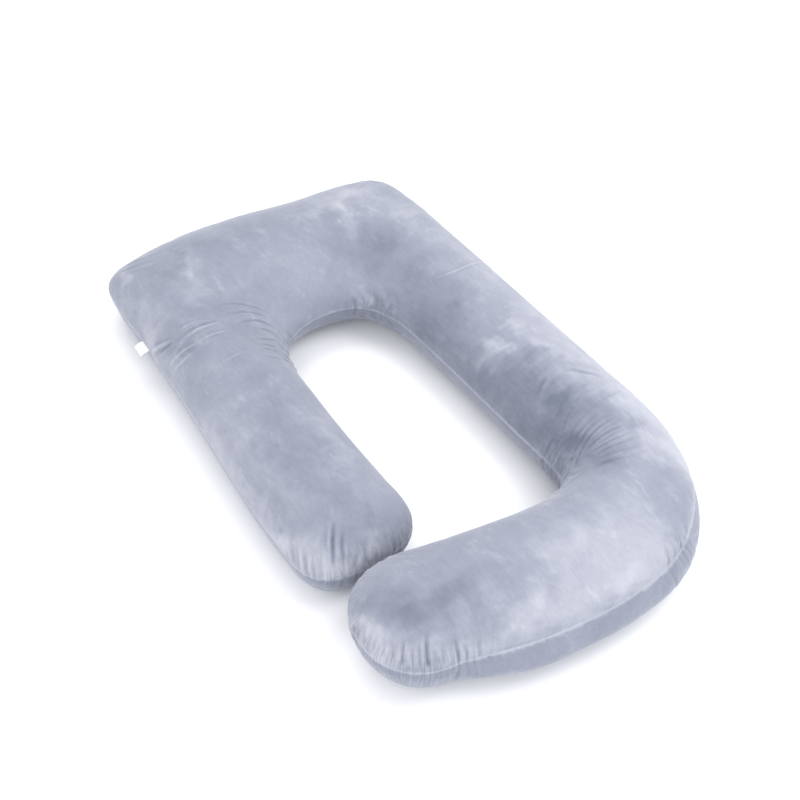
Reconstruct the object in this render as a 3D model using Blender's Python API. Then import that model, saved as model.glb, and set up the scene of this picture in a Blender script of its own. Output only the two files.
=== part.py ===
# Full body pillow for pregnancy, lying flat on its back. Metres, +Z up, +Y towards the head end.
# It has a short arm, a head section, a long arm and a foot that hooks back under the short arm.
# Two panels of one outline are sewn together round the edge, turned out and filled.

import math
from collections import namedtuple

import bpy
from mathutils import Vector

# Where the main edges of the seam outline lie, seen from above
SIDE_X = 0.420          # outer seam of both arms, each side of the middle
HEAD_Y = 0.722          # furthest point of the head's seam
FOOT_Y = -0.720         # furthest point of the foot's seam
SHORT_INNER_X = -0.152  # inner seam of the short arm, at its end
LONG_INNER_X = 0.155    # inner seam of the long arm
SLOT_HEAD_Y = 0.303     # seam of the slot's end at the head
SLOT_FOOT_Y = -0.434    # seam of the slot's end at the foot

# Heights above the surface the pillow lies on
ARM_CROWN = 0.185
HEAD_CROWN = 0.178
CORNER_CROWN = 0.168
FOOT_CROWN = 0.190
SEAM = 0.088            # about half height
FOOT_SEAM = 0.120       # the seam rides up round the full foot
TIP_SEAM = 0.106
SLOT_SEAM = 0.098
LEVEL_SEAM = 0.104      # above this the lower panel bulges out past the seam
BULGE_RATE = 1.8        # how far it bulges for each metre the seam is higher

# One row for each section across the pillow, from the short arm's end round to the foot's tip.
Section = namedtuple("Section", "place outer_x outer_y inner_x inner_y crown outer_seam inner_seam")
SECTIONS = [
    Section("short_arm_end", -SIDE_X, -0.240, SHORT_INNER_X, -0.240, ARM_CROWN, 0.084, 0.086),
    Section("short_arm_low", -0.415, -0.100, -0.151, -0.120, ARM_CROWN, SEAM, SEAM),
    Section("short_arm_mid", -0.399, 0.050, -0.147, -0.020, ARM_CROWN, SEAM, SEAM),
    Section("short_arm_top", -0.383, 0.200, -0.140, 0.075, ARM_CROWN, SEAM, SEAM),
    Section("head_start", -0.371, 0.335, -0.134, 0.150, ARM_CROWN, SEAM, SEAM),
    Section("head_left", -0.360, 0.475, -0.122, 0.215, HEAD_CROWN, SEAM, SEAM),
    Section("left_corner_in", -0.354, 0.603, -0.098, 0.262, HEAD_CROWN, SEAM, SEAM),
    Section("left_corner", -0.321, 0.694, -0.064, 0.288, CORNER_CROWN, SEAM, SEAM),
    Section("top_left", -0.164, HEAD_Y, -0.026, 0.300, HEAD_CROWN, SEAM, SEAM),
    Section("top_middle", 0.000, 0.711, 0.010, SLOT_HEAD_Y, HEAD_CROWN, SEAM, SEAM),
    Section("top_right", 0.154, 0.682, 0.044, 0.300, HEAD_CROWN, SEAM, SEAM),
    Section("right_corner_in", 0.310, 0.660, 0.080, 0.289, HEAD_CROWN, SEAM, SEAM),
    Section("right_corner", 0.398, 0.628, 0.110, 0.268, CORNER_CROWN, SEAM, SEAM),
    Section("head_right", SIDE_X, 0.520, 0.135, 0.228, HEAD_CROWN, SEAM, SEAM),
    Section("long_arm_top", SIDE_X, 0.329, 0.150, 0.165, ARM_CROWN, SEAM, SEAM),
    Section("long_arm_mid", SIDE_X, 0.050, LONG_INNER_X, 0.020, ARM_CROWN, SEAM, SEAM),
    Section("long_arm_low", SIDE_X, -0.220, LONG_INNER_X, -0.220, ARM_CROWN, SEAM, SEAM),
    Section("bend_start", 0.416, -0.368, LONG_INNER_X, -0.330, ARM_CROWN, 0.096, 0.090),
    Section("bend_side", 0.394, -0.473, 0.152, -0.374, ARM_CROWN, 0.105, 0.092),
    Section("bend_middle", 0.348, -0.572, 0.140, -0.407, FOOT_CROWN, 0.114, SLOT_SEAM),
    Section("bend_low", 0.271, -0.651, 0.115, -0.427, FOOT_CROWN, FOOT_SEAM, SLOT_SEAM),
    Section("bend_end", 0.172, -0.704, 0.070, SLOT_FOOT_Y, FOOT_CROWN, FOOT_SEAM, SLOT_SEAM),
    Section("foot_middle", 0.052, FOOT_Y, 0.000, -0.429, FOOT_CROWN, FOOT_SEAM, SLOT_SEAM),
    Section("foot_left", -0.060, -0.713, -0.090, -0.413, FOOT_CROWN, FOOT_SEAM, SLOT_SEAM),
    Section("foot_low_left", -0.170, -0.694, -0.180, -0.395, FOOT_CROWN, FOOT_SEAM, SLOT_SEAM),
    Section("foot_tip", -0.298, -0.646, -0.270, -0.376, ARM_CROWN, TIP_SEAM, SLOT_SEAM),
]
PLACES = {section.place: number for number, section in enumerate(SECTIONS)}
LAST = len(SECTIONS) - 1

# The two rounded ends: how far each reaches past its last section, and how square it is (2 is an ellipse)
End = namedtuple("End", "reach square")
ENDS = {
    "short_arm_end": End(0.115, 2.8),
    "foot_tip": End(0.138, 2.2),
}

# Shape of a panel from its seam (0) to the middle line of the pillow (1)
TOP_STEPS = [0.0, 0.02, 0.07, 0.15, 0.26, 0.40, 0.57, 0.78]
UNDER_STEPS = [0.0, 0.02, 0.07, 0.16, 0.28]
CONTACT = 0.42          # from here to the middle line the underside lies flat
CROWN_FULLNESS = 2.3
SEAM_PINCH = 0.58       # 0.5 would round the seam away, 1 would bring the panels to a sharp wedge

RIB_SPACING = 0.044     # along the outer seam, where nothing gathers
END_RIBS = 12           # spaces between the plain ribs round an end
PLAIN_RIB_GAP = 0.010   # a plain rib is left out nearer than this to another
GROOVE_RIB_GAP = 0.004
SHORT_STEP = 0.01       # in positions, to measure how fast a seam runs

# Gathers and creases: soft grooves that run from the seam towards the middle line.
# On the outer and inner edges share is the way from the named place to the next one.
# On the two ends place is the end, and share the way round it from the outer to the inner edge.
Groove = namedtuple("Groove", "edge place share depth half_width reach")
GROOVES = [
    Groove("end", "short_arm_end", 0.09, 0.006, 0.012, 0.050),
    Groove("end", "short_arm_end", 0.17, 0.008, 0.011, 0.065),
    Groove("end", "short_arm_end", 0.25, 0.007, 0.010, 0.055),
    Groove("end", "short_arm_end", 0.33, 0.010, 0.012, 0.080),
    Groove("end", "short_arm_end", 0.41, 0.009, 0.011, 0.075),
    Groove("end", "short_arm_end", 0.51, 0.007, 0.012, 0.060),
    Groove("end", "short_arm_end", 0.60, 0.009, 0.012, 0.070),
    Groove("end", "short_arm_end", 0.70, 0.007, 0.011, 0.060),
    Groove("end", "short_arm_end", 0.79, 0.009, 0.012, 0.065),
    Groove("end", "short_arm_end", 0.90, 0.006, 0.012, 0.050),
    Groove("end", "foot_tip", 0.07, 0.008, 0.012, 0.055),
    Groove("end", "foot_tip", 0.16, 0.010, 0.012, 0.070),
    Groove("end", "foot_tip", 0.24, 0.008, 0.011, 0.055),
    Groove("end", "foot_tip", 0.33, 0.009, 0.012, 0.065),
    Groove("end", "foot_tip", 0.43, 0.010, 0.012, 0.075),
    Groove("end", "foot_tip", 0.53, 0.008, 0.012, 0.060),
    Groove("end", "foot_tip", 0.63, 0.009, 0.012, 0.070),
    Groove("end", "foot_tip", 0.74, 0.007, 0.012, 0.055),
    Groove("end", "foot_tip", 0.86, 0.008, 0.012, 0.060),
    Groove("outer", "foot_low_left", 0.55, 0.005, 0.013, 0.050),
    Groove("outer", "foot_low_left", 0.82, 0.007, 0.012, 0.060),
    Groove("outer", "bend_low", 0.55, 0.006, 0.012, 0.065),
    Groove("outer", "bend_low", 0.80, 0.007, 0.012, 0.070),
    Groove("outer", "bend_end", 0.05, 0.006, 0.012, 0.060),
    Groove("inner", "bend_start", 0.50, 0.008, 0.010, 0.110),
    Groove("inner", "bend_side", 0.40, 0.009, 0.010, 0.120),
    Groove("inner", "bend_middle", 0.20, 0.009, 0.010, 0.120),
    Groove("inner", "bend_middle", 0.85, 0.007, 0.010, 0.090),
    Groove("inner", "head_left", 0.40, 0.007, 0.011, 0.080),
    Groove("inner", "left_corner_in", 0.50, 0.008, 0.011, 0.090),
    Groove("inner", "right_corner", 0.30, 0.008, 0.011, 0.090),
    Groove("inner", "head_right", 0.20, 0.006, 0.011, 0.070),
    Groove("outer", "head_start", 0.12, 0.006, 0.015, 0.140),
    Groove("outer", "left_corner_in", 0.75, 0.006, 0.013, 0.070),
    Groove("outer", "left_corner", 0.20, 0.006, 0.013, 0.070),
    Groove("outer", "right_corner_in", 0.85, 0.006, 0.013, 0.060),
    Groove("outer", "right_corner", 0.20, 0.006, 0.013, 0.060),
    Groove("outer", "long_arm_top", 0.50, 0.005, 0.014, 0.140),
]
GROOVE_AT_SEAM = 0.35   # share of a groove's depth at the stitches
GROOVE_DEEPEST = 0.25   # share of its reach over which it grows deeper
GROOVE_FADE = 1.3

# The white tag caught in the outer seam beside the head
LABEL_PLACE = "head_start"
LABEL_SHARE = 0.80
LABEL_WIDTH = 0.037     # along the seam
LABEL_LENGTH = 0.021    # out from the seam
LABEL_THICKNESS = 0.0012
LABEL_DROOP = 0.008
LABEL_STEPS = 5
LABEL_GAP = 0.0005      # between the tag and the pillow

# Finishes
VELVET_COLOUR = (0.43, 0.48, 0.60)
VELVET_ROUGHNESS = 0.90
SHARP_ANGLE = math.radians(60)
LABEL_COLOUR = (0.88, 0.88, 0.87)
LABEL_ROUGHNESS = 0.75

# A rib runs from the seam to the middle line, where the two sides of a section meet.
Rib = namedtuple("Rib", "seam middle crown depth reach")


def clear_scene():
    for item in list(bpy.data.objects):
        bpy.data.objects.remove(item, do_unlink=True)


def make_material(name, colour, roughness):
    material = bpy.data.materials.new(name)
    material.use_nodes = True
    shader = material.node_tree.nodes["Principled BSDF"]
    shader.inputs["Base Color"].default_value = (*colour, 1.0)
    shader.inputs["Roughness"].default_value = roughness
    shader.inputs["Metallic"].default_value = 0.0
    return material


def smooth_curve(before, start, end, after, share):
    """A value on the smooth curve through four neighbouring values, between the middle two."""
    return 0.5 * (
        2 * start
        + (end - before) * share
        + (2 * before - 5 * start + 4 * end - after) * share**2
        + (3 * start - before - 3 * end + after) * share**3
    )


def section_at(position):
    """The section at a position, where 2.5 is half way from the third row to the fourth."""
    first = min(int(position), LAST - 1)
    share = position - first
    rows = [SECTIONS[min(max(first + step, 0), LAST)] for step in (-1, 0, 1, 2)]
    values = [smooth_curve(*column, share) for column in zip(*(row[1:] for row in rows))]
    return Section(SECTIONS[first].place, *values)


def middle_of(section):
    return Vector(((section.outer_x + section.inner_x) / 2, (section.outer_y + section.inner_y) / 2))


def side_seam(edge, position):
    """The seam's point on the outer or inner edge."""
    section = section_at(position)
    if edge == "outer":
        return Vector((section.outer_x, section.outer_y, section.outer_seam))
    return Vector((section.inner_x, section.inner_y, section.inner_seam))


def end_seam(place, share):
    """The seam's point on a rounded end, from its outer edge (0) to its inner edge (1)."""
    section = SECTIONS[PLACES[place]]
    end = ENDS[place]
    middle = middle_of(section)
    across = Vector((section.outer_x, section.outer_y)) - middle
    forward = Vector((-across.y, across.x)).normalized()
    if place == "foot_tip":
        forward.negate()
    angle = math.pi * share
    sideways = math.copysign(abs(math.cos(angle)) ** (2 / end.square), math.cos(angle))
    onward = max(math.sin(angle), 0.0) ** (2 / end.square)
    point = middle + across * sideways + forward * end.reach * onward
    height = section.outer_seam + (section.inner_seam - section.outer_seam) * share
    return Vector((point.x, point.y, height))


def seam_point(edge, position):
    if edge in ("outer", "inner"):
        return side_seam(edge, position)
    return end_seam(edge, position)


def groove_edge(groove):
    """The edge a groove is on and its position there."""
    if groove.edge == "end":
        return groove.place, groove.share
    return groove.edge, PLACES[groove.place] + groove.share


def groove_at(edge, point):
    """Depth and reach of the grooves at a point of the seam on one edge."""
    depth = 0.0
    reach = 0.0
    for groove in GROOVES:
        where, position = groove_edge(groove)
        if where != edge:
            continue
        away = (seam_point(edge, position) - point).length / groove.half_width
        if away >= 1.0:
            continue
        here = groove.depth * (0.5 + 0.5 * math.cos(math.pi * away))
        if here > depth:
            depth = here
            reach = groove.reach
    return depth, reach


def gap_to(edge, position, others):
    """Distance along an edge from a position to the nearest of some others."""
    point = seam_point(edge, position)
    return min((seam_point(edge, other) - point).length for other in others)


def groove_positions(edge):
    """The middle and both rims of every groove on an edge."""
    positions = []
    for groove in GROOVES:
        where, middle = groove_edge(groove)
        if where == edge:
            pace = (seam_point(edge, middle + SHORT_STEP) - seam_point(edge, middle)).length / SHORT_STEP
            rim = groove.half_width / pace
            positions += [middle - rim, middle, middle + rim]
    return positions


def side_positions():
    """Where ribs stand on both long edges: at the grooves of either, and evenly between them."""
    positions = [0.0, float(LAST)]
    for position in groove_positions("outer") + groove_positions("inner"):
        if min(gap_to("outer", position, positions), gap_to("inner", position, positions)) > GROOVE_RIB_GAP:
            positions.append(position)
    for first in range(LAST):
        span = (side_seam("outer", first + 1) - side_seam("outer", first)).length
        count = math.ceil(span / RIB_SPACING)
        for number in range(count):
            position = first + number / count
            if gap_to("outer", position, positions) > PLAIN_RIB_GAP:
                positions.append(position)
    return sorted(positions)


def end_positions(place):
    """Where ribs stand round an end, without the two that its last section has."""
    positions = [0.0, 1.0]
    for position in groove_positions(place):
        if gap_to(place, position, positions) > GROOVE_RIB_GAP:
            positions.append(position)
    for number in range(1, END_RIBS):
        if gap_to(place, number / END_RIBS, positions) > PLAIN_RIB_GAP:
            positions.append(number / END_RIBS)
    return sorted(positions)[1:-1]


def make_rib(edge, position, section):
    seam = seam_point(edge, position)
    depth, reach = groove_at(edge, seam)
    return Rib(seam, middle_of(section), section.crown, depth, reach)


def make_ribs():
    """All ribs in order round the seam, each with the key of the point it shares on the middle line."""
    sides = side_positions()
    ribs = []
    for position in sides:
        ribs.append((make_rib("outer", position, section_at(position)), position))
    for share in end_positions("foot_tip"):
        ribs.append((make_rib("foot_tip", share, SECTIONS[LAST]), sides[-1]))
    for position in reversed(sides):
        ribs.append((make_rib("inner", position, section_at(position)), position))
    for share in reversed(end_positions("short_arm_end")):
        ribs.append((make_rib("short_arm_end", share, SECTIONS[0]), sides[0]))
    return ribs


def groove_share(rib, along):
    """How much of its depth a groove has at a distance from the seam: most just inside the stitches."""
    if rib.depth == 0.0 or along >= rib.reach:
        return 0.0
    way = along / rib.reach
    return min(1.0, GROOVE_AT_SEAM + way / GROOVE_DEEPEST) * (1.0 - way) ** GROOVE_FADE


def rib_point(rib, share, top):
    """A point on the upper or the lower panel, at a share of the way from the seam to the middle line."""
    across = rib.middle - rib.seam.xy
    length = across.length
    inward = across / length
    if top:
        rise = (1 - (1 - share) ** CROWN_FULLNESS) ** SEAM_PINCH
        height = rib.seam.z + (rib.crown - rib.seam.z) * rise
        bulge = 0.0
    else:
        rise = (1 - (1 - share / CONTACT) ** 2) ** SEAM_PINCH
        height = rib.seam.z * (1 - rise)
        bulge = BULGE_RATE * max(0.0, rib.seam.z - LEVEL_SEAM) * math.sin(math.pi * rise)
    sunk = rib.depth * groove_share(rib, share * length)
    outward = math.sqrt(max(0.0, 1 - rise * rise))
    place = rib.seam.xy + across * share + inward * (sunk * outward - bulge)
    height += -sunk * rise if top else sunk * rise
    return Vector((place.x, place.y, height))


def pillow_mesh():
    """Points and faces of the filled pillow: ribs from the seam over each panel to the middle line."""
    ribs = make_ribs()
    points = []
    middle_top = {}
    middle_under = {}

    def add(point):
        points.append(point)
        return len(points) - 1

    rows = []
    for rib, key in ribs:
        if key not in middle_top:
            middle_top[key] = add(Vector((*rib.middle, rib.crown)))
            middle_under[key] = add(Vector((*rib.middle, 0.0)))
        upper = [add(rib_point(rib, share, True)) for share in TOP_STEPS]
        lower = [upper[0]] + [add(rib_point(rib, share, False)) for share in UNDER_STEPS[1:]]
        contact = rib.seam.xy + (rib.middle - rib.seam.xy) * CONTACT
        lower.append(add(Vector((*contact, 0.0))))
        rows.append((upper + [middle_top[key]], lower + [middle_under[key]]))

    faces = []
    for (upper, lower), (next_upper, next_lower) in zip(rows, rows[1:] + rows[:1]):
        for low, high, next_low, next_high in zip(upper, upper[1:], next_upper, next_upper[1:]):
            faces.append((low, high, next_high, next_low))
        for low, high, next_low, next_high in zip(lower, lower[1:], next_lower, next_lower[1:]):
            faces.append((low, next_low, next_high, high))
    return points, [tuple(dict.fromkeys(face)) for face in faces]


def box_middle(points):
    """The middle of the box round the points, seen from above."""
    return Vector(
        [(min(p[axis] for p in points) + max(p[axis] for p in points)) / 2 for axis in (0, 1)] + [0.0]
    )


def add_piece(name, points, faces, material):
    mesh = bpy.data.meshes.new(name)
    mesh.from_pydata(points, [], faces)
    mesh.validate()
    mesh.shade_smooth()
    mesh.set_sharp_from_angle(angle=SHARP_ANGLE)
    mesh.materials.append(material)
    bpy.context.scene.collection.objects.link(bpy.data.objects.new(name, mesh))


def make_pillow():
    """The pillow, standing on the middle of its own box."""
    points, faces = pillow_mesh()
    middle = box_middle(points)
    velvet = make_material("velvet", VELVET_COLOUR, VELVET_ROUGHNESS)
    add_piece("pillow", [point - middle for point in points], faces, velvet)
    return middle


def make_label(middle):
    """A thin folded tag that stands out of the seam and droops."""
    position = PLACES[LABEL_PLACE] + LABEL_SHARE
    seam = side_seam("outer", position)
    along = (side_seam("outer", position + SHORT_STEP) - seam).normalized()
    out = Vector((-along.y, along.x, 0.0))
    points = []
    for number in range(LABEL_STEPS):
        share = number / (LABEL_STEPS - 1)
        centre = seam - middle + out * (LABEL_GAP + LABEL_LENGTH * share)
        centre.z -= LABEL_DROOP * share**2
        for side, level in ((-1, -1), (1, -1), (1, 1), (-1, 1)):
            lift = Vector((0.0, 0.0, level * LABEL_THICKNESS / 2))
            points.append(centre + along * side * LABEL_WIDTH / 2 + lift)
    faces = [(0, 1, 2, 3)]
    for number in range(LABEL_STEPS - 1):
        base = 4 * number
        for corner in range(4):
            following = (corner + 1) % 4
            faces.append((base + following, base + corner, base + 4 + corner, base + 4 + following))
    last = 4 * (LABEL_STEPS - 1)
    faces.append((last + 3, last + 2, last + 1, last))
    add_piece("label", points, faces, make_material("label_tape", LABEL_COLOUR, LABEL_ROUGHNESS))


def main():
    clear_scene()
    middle = make_pillow()
    make_label(middle)


main()
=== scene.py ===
# Full body pillow in short-pile velvet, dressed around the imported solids. Metres, +Z up, +Y to the head end.
# Two panels of one outline are sewn round the edge and filled, and a blank tag is caught in the seam.

import math
from collections import namedtuple

import bpy
import numpy as np
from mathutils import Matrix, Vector
from mathutils.bvhtree import BVHTree
from mathutils.geometry import delaunay_2d_cdt
from mathutils.interpolate import poly_3d_calc


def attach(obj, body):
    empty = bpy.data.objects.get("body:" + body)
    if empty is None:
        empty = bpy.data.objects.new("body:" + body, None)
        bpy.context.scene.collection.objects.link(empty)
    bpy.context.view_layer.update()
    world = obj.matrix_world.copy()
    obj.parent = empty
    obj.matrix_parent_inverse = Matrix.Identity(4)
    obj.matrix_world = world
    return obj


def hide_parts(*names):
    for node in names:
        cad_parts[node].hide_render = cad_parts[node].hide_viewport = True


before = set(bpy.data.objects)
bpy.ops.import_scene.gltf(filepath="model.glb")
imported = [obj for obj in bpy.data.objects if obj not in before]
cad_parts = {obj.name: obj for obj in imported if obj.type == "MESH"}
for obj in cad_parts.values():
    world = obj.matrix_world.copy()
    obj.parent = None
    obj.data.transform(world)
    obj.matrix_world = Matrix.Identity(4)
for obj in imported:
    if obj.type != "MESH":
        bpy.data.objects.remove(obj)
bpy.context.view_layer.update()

# Sections across the pillow, from the short arm's end round to the foot's tip, as the solid has them
Section = namedtuple("Section", "place outer_x outer_y inner_x inner_y crown outer_seam inner_seam")
SECTIONS = [Section(*row) for row in [
    ("short_arm_end", -0.420, -0.240, -0.152, -0.240, 0.185, 0.084, 0.086),
    ("short_arm_low", -0.415, -0.100, -0.151, -0.120, 0.185, 0.088, 0.088),
    ("short_arm_mid", -0.399, 0.050, -0.147, -0.020, 0.185, 0.088, 0.088),
    ("short_arm_top", -0.383, 0.200, -0.140, 0.075, 0.185, 0.088, 0.088),
    ("head_start", -0.371, 0.335, -0.134, 0.150, 0.185, 0.088, 0.088),
    ("head_left", -0.360, 0.475, -0.122, 0.215, 0.178, 0.088, 0.088),
    ("left_corner_in", -0.354, 0.603, -0.098, 0.262, 0.178, 0.088, 0.088),
    ("left_corner", -0.321, 0.694, -0.064, 0.288, 0.168, 0.088, 0.088),
    ("top_left", -0.164, 0.722, -0.026, 0.300, 0.178, 0.088, 0.088),
    ("top_middle", 0.000, 0.711, 0.010, 0.303, 0.178, 0.088, 0.088),
    ("top_right", 0.154, 0.682, 0.044, 0.300, 0.178, 0.088, 0.088),
    ("right_corner_in", 0.310, 0.660, 0.080, 0.289, 0.178, 0.088, 0.088),
    ("right_corner", 0.398, 0.628, 0.110, 0.268, 0.168, 0.088, 0.088),
    ("head_right", 0.420, 0.520, 0.135, 0.228, 0.178, 0.088, 0.088),
    ("long_arm_top", 0.420, 0.329, 0.150, 0.165, 0.185, 0.088, 0.088),
    ("long_arm_mid", 0.420, 0.050, 0.155, 0.020, 0.185, 0.088, 0.088),
    ("long_arm_low", 0.420, -0.220, 0.155, -0.220, 0.185, 0.088, 0.088),
    ("bend_start", 0.416, -0.368, 0.155, -0.330, 0.185, 0.096, 0.090),
    ("bend_side", 0.394, -0.473, 0.152, -0.374, 0.185, 0.105, 0.092),
    ("bend_middle", 0.348, -0.572, 0.140, -0.407, 0.190, 0.114, 0.098),
    ("bend_low", 0.271, -0.651, 0.115, -0.427, 0.190, 0.120, 0.098),
    ("bend_end", 0.172, -0.704, 0.070, -0.434, 0.190, 0.120, 0.098),
    ("foot_middle", 0.052, -0.720, 0.000, -0.429, 0.190, 0.120, 0.098),
    ("foot_left", -0.060, -0.713, -0.090, -0.413, 0.190, 0.120, 0.098),
    ("foot_low_left", -0.170, -0.694, -0.180, -0.395, 0.190, 0.120, 0.098),
    ("foot_tip", -0.298, -0.646, -0.270, -0.376, 0.185, 0.106, 0.098),
]]
PLACES = {section.place: number for number, section in enumerate(SECTIONS)}
OUTER = [0, 1, 5]       # columns of a section's numbers: x, y and height of the seam's outer point
INNER = [2, 3, 6]
CROWN = 4
# How far each end reaches past its last section, how square it is, and whether it lies to the left (1) or
# to the right (-1) of the way out from the middle of that section to its outer edge
End = namedtuple("End", "reach square turn")
ENDS = {"short_arm_end": End(0.115, 2.8, 1), "foot_tip": End(0.138, 2.2, -1)}
MIDDLE = Vector((-0.0004133, -0.0078754, 0.0))   # the solid stands on the middle of its own box

# Shape of a panel from its seam (0) to the middle line of the pillow (1), as the solid has it
CONTACT = 0.42          # the underside lies flat from here on
CROWN_FULLNESS = 2.3    # the larger, the flatter the crown is
SEAM_PINCH = 0.58       # 0.5 would be a round edge, and more is a pinched one
LEVEL_SEAM = 0.104      # where the seam is higher than this, the lower panel bulges out under it
BULGE_RATE = 1.8
HALF_WIDTH = 0.135      # usual way from the seam to the middle line, and each panel's rise or fall on it
CROWN_RISE = 0.095
UNDER_FALL = 0.090

# How finely the panels are cut up
SIDE_RIBS = 1300        # ribs that carry the shape, along each long edge
END_RIBS = 200
RIB_STEPS = 40
PROFILE_STEPS = 2000    # steps in which a panel's profile is measured
PROFILE_CROWDING = 3    # power that brings them closer together towards the seam, where it is steep
MIDDLE_GAP = 0.001      # the ribs stop just short of the middle line, where those of an end would meet
LATTICE = 0.0066        # finest spacing of the points in a panel before it is subdivided
CLEAR_EDGE = 0.6        # no point is closer to the seam than this, in spacings
FINE_EDGE = 0.022       # the points are this fine up to here from the seam
FOLD_EDGE = 0.013       # and up to here from a fold
BROAD_EDGE = 0.070      # up to here those underneath are closer together than in the flat middle
INSIDE_EDGES = 1        # asks the triangulation for the triangles inside the seam alone
SAME_PLACE = 1e-7       # and to take points closer than this for one
BATCH = 1000            # places that are measured at once
RUN_BREAK = 0.3         # share of the seam's length at which the count round it breaks off

# Where cloth is gathered: middle and radius, spacing and depth of the gathers, and how far they reach inwards
Spot = namedtuple("Spot", "x y radius spacing depth reach")
SPOTS = [
    Spot(-0.290, -0.335, 0.160, 0.017, 0.0009, 0.045),
    Spot(-0.360, -0.550, 0.200, 0.017, 0.0008, 0.040),
    Spot(0.190, -0.690, 0.065, 0.018, 0.0008, 0.035),
    Spot(0.150, -0.400, 0.100, 0.017, 0.0012, 0.060),
    Spot(-0.110, 0.235, 0.080, 0.022, 0.0012, 0.070),
    Spot(0.115, 0.245, 0.080, 0.024, 0.0015, 0.060),
]


def sections_at(positions):
    """Sections' numbers on a smooth curve through them; 2.5 is half way from the third to the fourth."""
    rows = np.array([section[1:] for section in SECTIONS])
    first = np.minimum(positions.astype(int), len(rows) - 2)
    share = (positions - first)[:, None]
    before, start, end, after = (rows[np.clip(first + step, 0, len(rows) - 1)] for step in (-1, 0, 1, 2))
    return 0.5 * (
        2 * start
        + (end - before) * share
        + (2 * before - 5 * start + 4 * end - after) * share**2
        + (3 * start - before - 3 * end + after) * share**3
    )


def end_ribs(place):
    """Seam points round one end, from its outer to its inner edge, without its last section's own two."""
    section = SECTIONS[PLACES[place]]
    end = ENDS[place]
    middle = np.array([section.outer_x + section.inner_x, section.outer_y + section.inner_y]) / 2
    across = np.array([section.outer_x, section.outer_y]) - middle
    forward = end.turn * np.array([-across[1], across[0]]) / np.linalg.norm(across)
    share = np.linspace(0, 1, END_RIBS)[1:-1]
    cosine = np.cos(np.pi * share)
    sideways = np.sign(cosine) * np.abs(cosine) ** (2 / end.square)
    onward = end.reach * np.sin(np.pi * share) ** (2 / end.square)
    height = section.outer_seam + (section.inner_seam - section.outer_seam) * share
    return np.column_stack([middle + np.outer(sideways, across) + np.outer(onward, forward), height])


def rib_ring():
    """Seam points, middle points and crowns of the ribs all round the pillow."""
    sections = sections_at(np.linspace(0, len(SECTIONS) - 1, SIDE_RIBS))
    outer = sections[:, OUTER]
    inner = sections[:, INNER]
    middle = (outer[:, :2] + inner[:, :2]) / 2
    crown = sections[:, CROWN]
    tip = end_ribs("foot_tip")
    arm = end_ribs("short_arm_end")
    ones = np.ones((END_RIBS - 2, 1))
    seams = np.vstack([outer, tip, inner[::-1], arm[::-1]])
    middles = np.vstack([middle, ones * middle[-1], middle[::-1], ones * middle[0]])
    crowns = np.concatenate([crown, ones[:, 0] * crown[-1], crown[::-1], ones[:, 0] * crown[0]])
    return seams, middles, crowns


def top_profile(share):
    """How far the upper panel has risen from the seam (0) to the crown (1), at a share of the way there."""
    return (1 - (1 - share) ** CROWN_FULLNESS) ** SEAM_PINCH


def under_profile(share):
    """How far the lower panel has come down from the seam (0) to where it lies flat (1)."""
    return (1 - (1 - np.minimum(share / CONTACT, 1.0)) ** 2) ** SEAM_PINCH


def even_shares(profile, width, height):
    """Shares of the way to the middle line that lie evenly along the cloth."""
    fine = np.linspace(0, 1, PROFILE_STEPS) ** PROFILE_CROWDING
    steps = np.hypot(np.diff(fine) * width, np.diff(profile(fine)) * height)
    run = np.concatenate([[0.0], np.cumsum(steps)])
    return np.interp(np.linspace(0, 1 - MIDDLE_GAP, RIB_STEPS), run / run[-1], fine)


def rib_points(ring):
    """The ribs' points laid flat, on the upper panel and on the lower one."""
    seams, middles, crowns = ring
    across = (middles - seams[:, :2])[:, None, :]
    start = seams[:, None, :2]
    level = seams[:, None, 2]
    flat = start + across * np.linspace(0, 1 - MIDDLE_GAP, RIB_STEPS)[None, :, None]
    share = even_shares(top_profile, HALF_WIDTH, CROWN_RISE)
    height = level + (crowns[:, None] - level) * top_profile(share)
    upper = np.dstack([start + across * share[None, :, None], height])
    share = even_shares(under_profile, HALF_WIDTH, UNDER_FALL)
    rise = under_profile(share)
    length = np.linalg.norm(across, axis=2)
    bulge = BULGE_RATE * np.maximum(0.0, level - LEVEL_SEAM) * np.sin(np.pi * rise) / length
    lower = np.dstack([start + across * (share[None, :] - bulge)[:, :, None], level * (1 - rise)])
    return flat, upper, lower


def even_seam(seams):
    """Seam points evenly round the outline."""
    closed = np.vstack([seams, seams[:1]])
    run = np.concatenate([[0.0], np.cumsum(np.linalg.norm(np.diff(closed, axis=0), axis=1))])
    count = round(run[-1] / LATTICE)
    places = np.arange(count) * run[-1] / count
    return np.column_stack([np.interp(places, run, closed[:, axis]) for axis in range(3)])


def beside_seam(points, seam):
    """How far flat points are from the seam, and how far round it the nearest place on it is.

    That is counted forwards from the short arm's end up to the long arm's smooth edge, or backwards to it.
    """
    start = seam[:, :2]
    step = np.roll(start, -1, axis=0) - start
    length = np.linalg.norm(step, axis=1)
    before = np.cumsum(length) - length
    away = np.empty(len(points))
    run = np.empty(len(points))
    for first in range(0, len(points), BATCH):
        part = slice(first, first + BATCH)
        offset = points[part, None] - start
        share = np.clip((offset * step).sum(axis=2) / length**2, 0, 1)
        distance = np.linalg.norm(offset - share[:, :, None] * step, axis=2)
        nearest = distance.argmin(axis=1)
        row = np.arange(len(nearest))
        away[part] = distance[row, nearest]
        run[part] = before[nearest] + share[row, nearest] * length[nearest]
    around = length.sum()
    return away, np.where(run > RUN_BREAK * around, run - around, run)


def fullness(spot, points):
    """How much cloth a spot gathers at each place: all of it up to half of its radius, and none beyond it."""
    away = np.linalg.norm(points - [spot.x, spot.y], axis=1) / spot.radius
    return np.clip(2.0 - 2.0 * away, 0.0, 1.0)


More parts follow.
